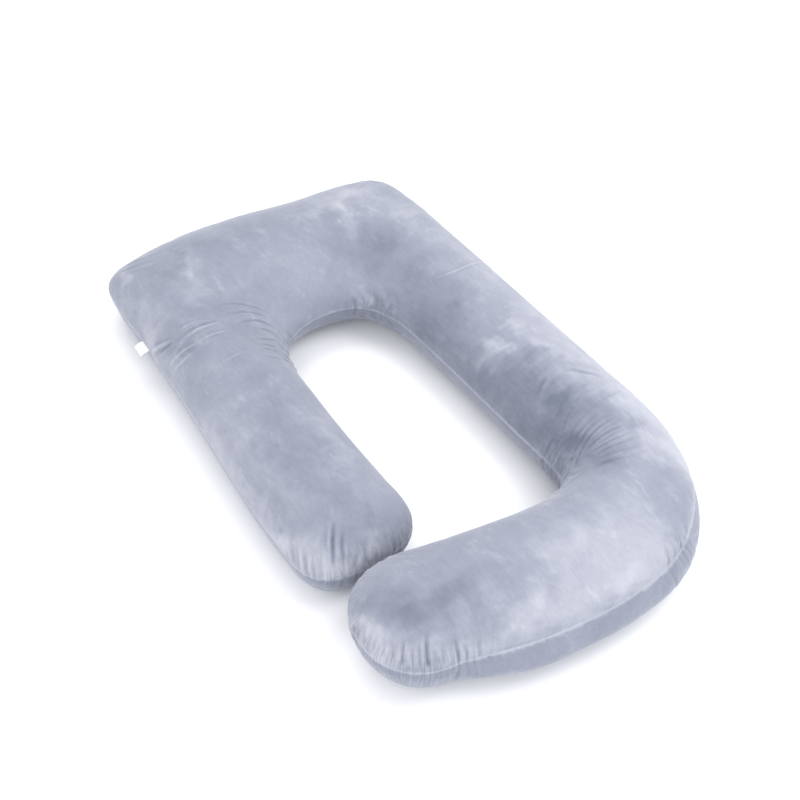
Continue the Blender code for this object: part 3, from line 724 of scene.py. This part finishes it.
# Where the pile is lighter, above zero, or darker, along a line on the flat panel: brushed pile and painted
# light
# The painted light and shade: lighter on edges that face the light, darker on the long arm's inner side and in
# the foot's inner bend
Stroke = namedtuple("Stroke", "x1 y1 x2 y2 width lightness")
NAP_AND_PAINTED_LIGHT_STROKES = [Stroke(*row) for row in [
    (0.235, 0.260, 0.230, 0.100, 0.040, -0.45),
    (0.225, -0.120, 0.215, -0.220, 0.040, -0.70),
    (0.180, 0.120, 0.175, -0.300, 0.030, -0.45),
    (0.246, -0.153, 0.248, -0.278, 0.028, -0.45),
    (0.283, 0.212, 0.300, 0.080, 0.022, 0.30),
    (0.300, 0.050, 0.300, -0.130, 0.026, 0.25),
    (0.225, -0.050, 0.228, -0.085, 0.018, 0.30),
    (0.335, 0.300, 0.350, 0.000, 0.032, 0.50),
    (0.350, -0.050, 0.350, -0.300, 0.040, 0.80),
    (0.316, 0.404, 0.291, 0.337, 0.018, 0.40),
    (0.224, -0.070, 0.242, -0.093, 0.012, 0.65),
    (0.292, -0.044, 0.299, -0.064, 0.011, 0.55),
    (0.291, -0.120, 0.304, -0.180, 0.016, 0.45),
    (0.288, -0.222, 0.298, -0.285, 0.014, 0.35),
    (0.227, -0.239, 0.270, -0.206, 0.007, 0.30),
    (0.365, -0.350, 0.330, -0.530, 0.042, 1.15),
    (0.310, -0.380, 0.270, -0.510, 0.022, 0.35),
    (0.240, -0.290, 0.215, -0.362, 0.038, -0.55),
    (0.225, -0.390, 0.205, -0.469, 0.032, -0.50),
    (0.230, -0.400, 0.290, -0.410, 0.028, -0.45),
    (0.190, -0.400, 0.205, -0.460, 0.030, -0.35),
    (0.215, -0.280, 0.205, -0.370, 0.030, -0.45),
    (-0.090, -0.615, 0.130, -0.620, 0.070, 0.50),
    (-0.144, -0.600, -0.090, -0.630, 0.026, -0.40),
    (0.000, -0.592, 0.130, -0.640, 0.046, 0.28),
    (-0.190, -0.575, -0.080, -0.570, 0.024, 0.20),
    (-0.190, -0.655, -0.070, -0.668, 0.020, 0.28),
    (-0.323, -0.612, -0.224, -0.655, 0.018, 0.25),
    (-0.060, -0.708, 0.150, -0.706, 0.020, 0.50),
    (0.276, -0.097, 0.294, -0.152, 0.018, 0.30),
    (0.213, -0.075, 0.230, -0.132, 0.014, 0.30),
    (0.236, 0.083, 0.235, 0.021, 0.020, -0.40),
    (-0.338, 0.563, -0.295, 0.436, 0.024, 0.22),
    (-0.318, 0.225, -0.273, 0.179, 0.024, 0.22),
    (0.252, 0.554, 0.176, 0.423, 0.024, 0.25),
    (-0.040, -0.675, 0.080, -0.688, 0.020, 0.25),
    (-0.405, -0.225, -0.375, -0.325, 0.032, 0.90),
    (-0.364, -0.340, -0.290, -0.340, 0.028, 0.70),
    (-0.294, -0.240, -0.299, -0.280, 0.030, -0.40),
    (0.265, -0.290, 0.280, -0.345, 0.026, -0.45),
    (-0.155, -0.630, 0.040, -0.672, 0.034, 0.45),
    (0.060, -0.680, 0.160, -0.670, 0.026, 0.40),
    (-0.349, -0.594, -0.180, -0.675, 0.026, 0.35),
    (-0.400, -0.470, -0.389, -0.575, 0.026, 0.95),
    (-0.270, -0.540, -0.090, -0.575, 0.026, -0.45),
    (-0.344, -0.490, -0.312, -0.543, 0.028, -0.50),
    (-0.312, -0.543, -0.250, -0.560, 0.030, -0.30),
    (-0.388, 0.129, -0.410, -0.210, 0.022, 0.65),
    (-0.338, 0.130, -0.345, 0.020, 0.040, 0.30),
    (-0.315, -0.003, -0.315, -0.190, 0.026, -0.30),
    (-0.292, 0.641, -0.304, 0.576, 0.011, 0.60),
    (-0.266, 0.614, -0.237, 0.539, 0.028, -0.35),
    (-0.160, 0.585, -0.187, 0.506, 0.014, 0.40),
    (-0.187, 0.506, -0.240, 0.426, 0.018, 0.35),
    (-0.166, 0.597, -0.190, 0.545, 0.009, -0.35),
    (0.182, 0.434, 0.230, 0.361, 0.050, -0.70),
    (-0.310, 0.400, -0.305, 0.280, 0.045, -0.40),
    (-0.100, 0.560, 0.060, 0.540, 0.050, -0.20),
    (0.181, 0.555, 0.281, 0.525, 0.036, 0.45),
    (0.215, 0.520, 0.185, 0.440, 0.018, 0.40),
    (-0.258, 0.645, -0.145, 0.595, 0.040, -0.20),
    (-0.325, 0.469, -0.344, 0.420, 0.028, 0.50),
    (-0.345, 0.420, -0.345, 0.274, 0.034, 0.50),
    (-0.350, 0.010, -0.340, -0.190, 0.026, 0.30),
    (-0.181, 0.408, -0.214, 0.257, 0.035, -0.25),
    (-0.250, 0.192, -0.282, -0.118, 0.030, -0.30),
    (-0.212, -0.020, -0.238, -0.140, 0.022, 0.30),
    (-0.262, -0.080, -0.272, -0.280, 0.009, -0.22),
    (-0.290, 0.430, -0.275, 0.350, 0.020, 0.20),
    (0.300, 0.484, 0.303, 0.404, 0.028, 0.30),
    (0.113, 0.536, 0.208, 0.513, 0.018, 0.30),
]]
LOWER_PANEL_SHADE = -0.22     # painted shade: the lower panel faces down, away from the light, and its pile lies away from it
SEAM_HIGHLIGHT = 1.0         # painted highlight: the pile stands up in a fine light line where the panels meet
FOLD_SHADE = 230.0      # painted shade: how much darker it is for each metre that it is folded in, and a painted highlight on a ridge
SMEAR = 0.007           # how far the edge of a stroke strays, in its longest wave
STRAY_WAVES = (0.110, 0.070, 0.045, 0.028, 0.018)
SHORTER = 0.6           # how fast the shorter waves get smaller
STRAY_SEED = 3


def tucks(places, seam):
    """For the fine tucks: how far round the seam each place is, how far from it, and how strong they are."""
    values = np.zeros((len(places), 3))
    chosen = np.flatnonzero(spot_share(places) > 0)
    away, run = beside_seam(places[chosen], seam)
    strength = [fullness(spot, places[chosen]) * np.exp(-((away / spot.reach) ** 2)) for spot in SPOTS]
    values[chosen] = np.column_stack([run, away, np.max(strength, axis=0)])
    return values


def brushing_and_painted_light(places, side, depths):
    """How much lighter or darker each point is: brushed pile, painted shade in folds and below, painted
    highlights.
    """
    chance = np.random.default_rng(STRAY_SEED)
    strayed = places.copy()
    for length in STRAY_WAVES:
        height = SMEAR * (length / STRAY_WAVES[0]) ** SHORTER
        for axis in (0, 1):
            turn = chance.uniform(0, math.tau)
            wave = np.array([math.cos(turn), math.sin(turn)]) * math.tau / length
            strayed[:, axis] += height * np.sin(places @ wave + chance.uniform(0, math.tau))
    nap_and_painted_light = np.zeros(len(places))
    for stroke in NAP_AND_PAINTED_LIGHT_STROKES:
        start = np.array([stroke.x1, stroke.y1])
        step = np.array([stroke.x2, stroke.y2]) - start
        along = np.clip((strayed - start) @ step / (step @ step), 0, 1)
        away = np.linalg.norm(strayed - start - along[:, None] * step, axis=1) / stroke.width
        nap_and_painted_light += stroke.lightness * np.exp(-(away**2))
    # painted shade on the lower panel and in folds, painted highlights on ridges and on the seam
    nap_and_painted_light = np.where(side < 0, LOWER_PANEL_SHADE, nap_and_painted_light) - FOLD_SHADE * depths
    nap_and_painted_light[side == 0] = SEAM_HIGHLIGHT
    return nap_and_painted_light


def linear(hex_colour):
    """A hex colour's red, green, blue and alpha in the linear values that shaders take."""
    values = []
    for place in (1, 3, 5):
        part = int(hex_colour[place:place + 2], 16) / 255
        values.append(part / 12.92 if part <= 0.04045 else ((part + 0.055) / 1.055) ** 2.4)
    return (*values, 1.0)


def add_node(tree, kind, inputs, **settings):
    """Adds a node with its settings, each input set to a value or linked to another node's output."""
    node = tree.nodes.new(kind)
    for name, value in settings.items():
        setattr(node, name, value)
    for name, value in inputs.items():
        if isinstance(value, bpy.types.NodeSocket):
            tree.links.new(value, node.inputs[name])
        else:
            node.inputs[name].default_value = value
    return node


def new_material(name):
    """A material and its node tree, which is empty."""
    material = bpy.data.materials.new(name)
    material.use_nodes = True
    material.node_tree.nodes.clear()
    return material, material.node_tree


# Marks in the pile: size of a light and a dark one together, how much they lighten it, how they are turned,
# how much longer than wide they are, and how they are broken up
Mark = namedtuple("Mark", "size lightness turn length detail roughness distortion")
MARKS = {
    "palm": Mark(0.125, 0.30, 0.0, 1.0, 3.0, 0.50, 0.8),
    "fingers": Mark(0.021, 0.20, 0.5, 2.2, 6.0, 0.68, 0.5),
    "lean_of_the_pile": Mark(0.0067, 0.22, 0.9, 3.3, 3.0, 0.70, 0.0),
    "touch": Mark(0.042, 0.0, 0.5, 2.2, 8.0, 0.72, 0.3),
}
TOUCH_FROM = 0.55       # a touch shows where its pattern is above this
TOUCH_TO = 0.66         # and fully where it is above this
TOUCH_LIGHTNESS = 0.10
STROKE_SHADE = 0.32     # how much a value of 1 of the brushed pile and its painted light lightens it
BASE_LIGHTNESS = 0.125  # added to all the marks, so that plain pile comes near the middle of the shades
TUCK_SIZE = 0.014       # the fine tucks are about half of this apart
TUCK_STRETCH = 0.10     # they are this much narrower than long
TUCK_EDGE = 0.05        # how wide one is, as a part of its pattern's height
TUCK_SHADE = 0.07       # painted shade: how much darker the pile is at the bottom of one
TUCK_DEPTH = 0.0012
TUFT_SIZE = 0.0011      # four times as coarse as the real pile, so that it shows
TUFT_HEIGHT = 0.0008
# Colours of the pile and how light it is there, from 0 to 1
SHADES = [(0.07, "#666B7B"), (0.50, "#8A8E9D"), (0.93, "#B0B2BC")]


def pile_marks(tree, place):
    """The patterns of the marks in the pile, by name."""
    patterns = {}
    for name, mark in MARKS.items():
        turned = add_node(tree, "ShaderNodeMapping", {
            "Vector": place, "Rotation": (0.0, 0.0, mark.turn), "Scale": (1.0, 1 / mark.length, 1.0),
        })
        patterns[name] = add_node(tree, "ShaderNodeTexNoise", {
            "Vector": turned.outputs["Vector"], "Scale": 1 / mark.size, "Detail": mark.detail,
            "Roughness": mark.roughness, "Distortion": mark.distortion,
        }).outputs["Fac"]
    return patterns


def fine_tucks(tree):
    """Narrow tucks square to the seam, from 0 on plain cloth down to -1 at the bottom of the strongest."""
    tucked = add_node(tree, "ShaderNodeAttribute", {}, attribute_name="tucks")
    beside = add_node(tree, "ShaderNodeMapping", {
        "Vector": tucked.outputs["Vector"], "Scale": (1.0, TUCK_STRETCH, 0.0),
    })
    waves = add_node(tree, "ShaderNodeTexNoise", {
        "Vector": beside.outputs["Vector"], "Scale": 1 / TUCK_SIZE, "Detail": 2.0, "Roughness": 0.5,
    })
    centred = add_node(tree, "ShaderNodeMath", {0: waves.outputs["Fac"], 1: 0.5}, operation="SUBTRACT")
    rise = add_node(tree, "ShaderNodeMath", {0: centred.outputs["Value"]}, operation="ABSOLUTE")
    crease = add_node(tree, "ShaderNodeMapRange", {
        "Value": rise.outputs["Value"], "From Max": TUCK_EDGE, "To Min": -1.0, "To Max": 0.0,
    }, interpolation_type="SMOOTHSTEP")
    strength = add_node(tree, "ShaderNodeSeparateXYZ", {"Vector": tucked.outputs["Vector"]})
    return add_node(tree, "ShaderNodeMath", {
        0: crease.outputs["Result"], 1: strength.outputs["Z"],
    }, operation="MULTIPLY").outputs["Value"]


def brushed_velvet():
    """Short-pile polyester velvet, brushed by hand: matt, with lighter and darker patches where the pile lies
    another way, painted light and shade from the mesh, and a pale sheen where it is seen from the side."""
    material, tree = new_material("brushed_velvet")
    place = add_node(tree, "ShaderNodeTexCoord", {}).outputs["Object"]
    patterns = pile_marks(tree, place)
    touched = add_node(tree, "ShaderNodeMapRange", {
        "Value": patterns.pop("touch"), "From Min": TOUCH_FROM, "From Max": TOUCH_TO,
        "To Max": TOUCH_LIGHTNESS,
    }, interpolation_type="SMOOTHSTEP")
    # the brushed pile with its painted light and shade, kept on the mesh
    brushed_and_painted = add_node(tree, "ShaderNodeAttribute", {}, attribute_name="nap_and_painted_light")
    tuck = fine_tucks(tree)
    parts = [(pattern, MARKS[name].lightness) for name, pattern in patterns.items()]
    parts += [(touched.outputs["Result"], 1.0), (brushed_and_painted.outputs["Fac"], STROKE_SHADE)]
    parts += [(tuck, TUCK_SHADE)]
    lightness = BASE_LIGHTNESS
    for part, share in parts:
        lightness = add_node(tree, "ShaderNodeMath", {
            0: part, 1: share, 2: lightness,
        }, operation="MULTIPLY_ADD").outputs["Value"]
    colour = add_node(tree, "ShaderNodeValToRGB", {"Fac": lightness})
    ramp = colour.color_ramp
    ramp.elements.new(SHADES[1][0])
    for element, (position, shade) in zip(ramp.elements, SHADES):
        element.position = position
        element.color = linear(shade)
    tuck_bump = add_node(tree, "ShaderNodeBump", {"Height": tuck, "Strength": 1.0, "Distance": TUCK_DEPTH})
    tufts = add_node(tree, "ShaderNodeTexNoise", {"Vector": place, "Scale": 1 / TUFT_SIZE, "Detail": 2.0})
    bump = add_node(tree, "ShaderNodeBump", {
        "Height": tufts.outputs["Fac"], "Strength": 0.5, "Distance": TUFT_HEIGHT,
        "Normal": tuck_bump.outputs["Normal"],
    })
    shader = add_node(tree, "ShaderNodeBsdfPrincipled", {
        "Base Color": colour.outputs["Color"],
        "Roughness": 0.9,
        "Specular IOR Level": 0.2,
        "Sheen Weight": 0.5,
        "Sheen Roughness": 0.4,
        "Sheen Tint": linear("#EDEFF6"),
        "Normal": bump.outputs["Normal"],
    })
    add_node(tree, "ShaderNodeOutputMaterial", {"Surface": shader.outputs["BSDF"]})
    return material


def make_pillow():
    """The filled pillow with its gathers and folds, covered in velvet."""
    points, places, side, faces, seam = filled_pillow()
    points = swell(points, places, side, faces, seam)
    points, places, side, faces, seam_edges = subdivide(points, places, side, faces, len(seam))
    depths = fold_depths(FOLDS + gathers(seam), places, side)
    points = points - outward(points, faces) * depths[:, None] - np.array(MIDDLE)
    points[:, 2] = np.maximum(points[:, 2], 0.0)
    mesh = make_mesh("pillow_cover", points, faces)
    mesh.shade_smooth()
    stitched = {tuple(sorted(pair)) for pair in seam_edges.tolist()}
    for edge in mesh.edges:
        if tuple(sorted(edge.vertices)) in stitched:
            edge.use_edge_sharp = True
    nap_and_painted_light = mesh.attributes.new("nap_and_painted_light", "FLOAT", "POINT")
    nap_and_painted_light.data.foreach_set("value", brushing_and_painted_light(places, side, depths))
    tucked = mesh.attributes.new("tucks", "FLOAT_VECTOR", "POINT")
    tucked.data.foreach_set("vector", tucks(places, seam).ravel())
    mesh.materials.append(brushed_velvet())
    pillow = add_object("pillow_cover", mesh)
    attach(pillow, "root")
    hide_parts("pillow")


RIB_PITCH = 0.0004      # from one rib of the tape to the next
RIB_HEIGHT = 0.00006
WAVE_TURNS = 20 / math.tau    # turns that the wave pattern makes in a metre at a scale of 1


def woven_tape():
    """White polyester satin tape: a tight smooth weave with fine ribs, which scatters light softly."""
    material, tree = new_material("woven_tape")
    place = add_node(tree, "ShaderNodeTexCoord", {}).outputs["Object"]
    ribs = add_node(tree, "ShaderNodeTexWave", {
        "Vector": place, "Scale": 1 / WAVE_TURNS / RIB_PITCH, "Distortion": 0.4,
    }, bands_direction="Y")
    bump = add_node(tree, "ShaderNodeBump", {
        "Height": ribs.outputs["Fac"], "Strength": 0.5, "Distance": RIB_HEIGHT,
    })
    shader = add_node(tree, "ShaderNodeBsdfPrincipled", {
        "Base Color": linear("#E6E6E3"),
        "Roughness": 0.55,
        "Specular IOR Level": 0.4,
        "Normal": bump.outputs["Normal"],
    })
    add_node(tree, "ShaderNodeOutputMaterial", {"Surface": shader.outputs["BSDF"]})
    return material


def make_tag():
    """The blank tag, folded and caught in the seam."""
    points, faces = thick_sheet(tag_sheet(), TAG_THICKNESS)
    mesh = make_mesh("tag", points - np.array(MIDDLE), faces)
    mesh.shade_smooth()
    mesh.materials.append(woven_tape())
    tag = add_object("tag", mesh)
    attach(tag, "root")
    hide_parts("label")


# The camera stands and looks as the one that took the photograph. Its lens and sensor are in millimetres.
CAMERA_PLACE = Vector((-1.256, -1.824, 2.362)) - MIDDLE
CAMERA_HEADING = (0.574, 0.819)
CAMERA_TILT = 45.9      # degrees below level
CAMERA_LENS = 65.7
CAMERA_SENSOR = 36.0
CAMERA_NEAR = 0.1
CAMERA_FAR = 50.0


def stand(holder, place, look):
    """Stands a camera or a lamp at a place and turns it to look the given way."""
    holder.location = place
    holder.rotation_euler = look.to_track_quat("-Z", "Y").to_euler()


def make_camera():
    """Looks down at the pillow as the photograph does."""
    camera = bpy.data.cameras.new("camera")
    camera.lens = CAMERA_LENS
    camera.sensor_width = CAMERA_SENSOR
    camera.clip_start = CAMERA_NEAR
    camera.clip_end = CAMERA_FAR
    holder = add_object("camera", camera)
    heading = Vector((*CAMERA_HEADING, 0.0)).normalized()
    tilt = math.radians(CAMERA_TILT)
    stand(holder, CAMERA_PLACE, heading * math.cos(tilt) - Vector((0.0, 0.0, math.sin(tilt))))
    bpy.context.scene.camera = holder


Light = namedtuple("Light", "name place aim size power")
LIGHTS = [
    Light("key_light", (1.7, -1.1, 2.5), (0.1, -0.3, 0.0), 2.4, 52.0),
    Light("front_light", (-1.6, -2.8, 1.5), (0.0, -0.3, 0.0), 2.4, 28.0),
    Light("back_light", (0.2, 2.0, 3.0), (0.0, 0.2, 0.0), 2.6, 36.0),
    Light("side_light", (-2.6, -0.5, 1.5), (-0.2, 0.0, 0.0), 2.4, 16.0),
]
SKY_STRENGTH = 0.98
FLOOR_REACH = 15.0
FLOOR_DROP = 0.001      # the floor is this far below the underside, so that they don't flicker


def matt_white():
    """Matt white paint of the floor, which takes the pillow's soft shadow."""
    material, tree = new_material("matt_white")
    shader = add_node(tree, "ShaderNodeBsdfPrincipled", {
        "Base Color": linear("#F7F8FA"), "Roughness": 0.9, "Specular IOR Level": 0.1,
    })
    add_node(tree, "ShaderNodeOutputMaterial", {"Surface": shader.outputs["BSDF"]})
    return material


def make_studio():
    """A plain pale floor under soft light from all round."""
    corners = FLOOR_REACH * np.array([(-1, -1, 0), (1, -1, 0), (1, 1, 0), (-1, 1, 0)]) - [0, 0, FLOOR_DROP]
    floor = add_object("floor", make_mesh("floor", corners, np.array([[0, 1, 2, 3]])))
    floor.data.materials.append(matt_white())
    world = bpy.data.worlds.new("studio")
    world.use_nodes = True
    sky = world.node_tree.nodes["Background"]
    sky.inputs["Color"].default_value = linear("#FFFFFF")
    sky.inputs["Strength"].default_value = SKY_STRENGTH
    bpy.context.scene.world = world
    for light in LIGHTS:
        lamp = bpy.data.lights.new(light.name, "AREA")
        lamp.shape = "DISK"
        lamp.size = light.size
        lamp.energy = light.power
        stand(add_object(light.name, lamp), light.place, Vector(light.aim) - Vector(light.place))
    bpy.context.scene.view_settings.view_transform = "Standard"


make_pillow()
make_tag()
make_camera()
make_studio()
